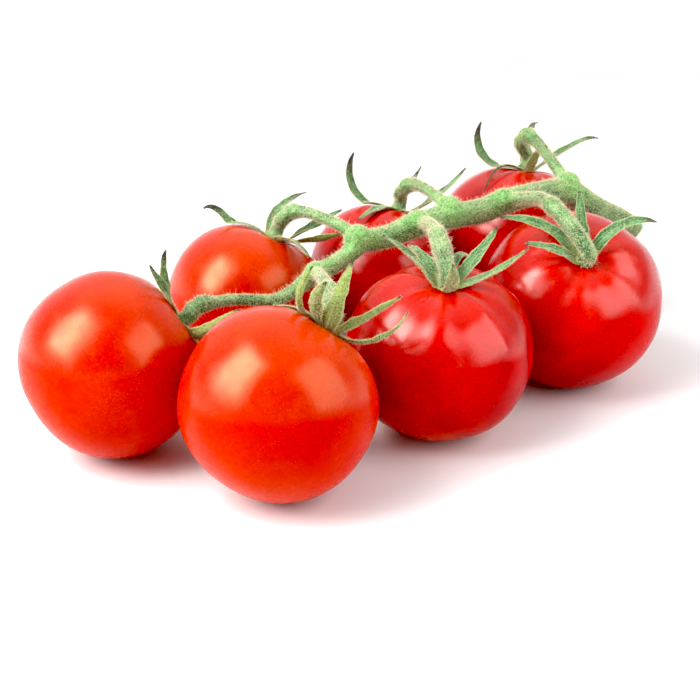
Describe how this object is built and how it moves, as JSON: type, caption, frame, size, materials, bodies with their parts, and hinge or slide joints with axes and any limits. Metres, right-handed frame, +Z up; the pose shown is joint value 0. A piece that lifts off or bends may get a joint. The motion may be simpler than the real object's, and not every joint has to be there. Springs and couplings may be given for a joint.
{
  "type": "truss of tomatoes",
  "caption": "Truss of ripe red tomatoes on their green vine, lying down, each with its leafy calyx and arching stalk.",
  "frame": {"origin": "middle of the footprint, on the surface that the fruit rest on", "axes": "+Z up; +X along the main stem, from the tomato at its tip to its cut end; +Y from the front row of fruit to the back row"},
  "size_m": [0.2556, 0.1496, 0.0776],
  "materials": {
    "skin_orange_red": "glossy waxy fruit skin, orange-red, just ripe",
    "skin_deep_red": "glossy waxy fruit skin, deep red, fully ripe",
    "stem": "matt green stem with fine pale hairs",
    "sepal": "matt green leaf with veins and fine pale hairs, dry dark tips"
  },
  "bodies": {
    "root": {"main_stem": "stem", "stalk_tip": "stem", "stalk_front_left": "stem", "stalk_back_left": "stem", "stalk_front_middle": "stem", "stalk_back_middle": "stem", "stalk_front_right": "stem", "stalk_back_right": "stem", "calyx_tip": "sepal", "calyx_front_left": "sepal", "calyx_back_left": "sepal", "calyx_front_middle": "sepal", "calyx_back_middle": "sepal", "calyx_front_right": "sepal", "calyx_back_right": "sepal", "tomato_tip": "skin_orange_red", "tomato_front_left": "skin_orange_red", "tomato_back_left": "skin_orange_red", "tomato_front_middle": "skin_deep_red", "tomato_back_middle": "skin_deep_red", "tomato_front_right": "skin_deep_red", "tomato_back_right": "skin_deep_red"}
  },
  "joints": []
}
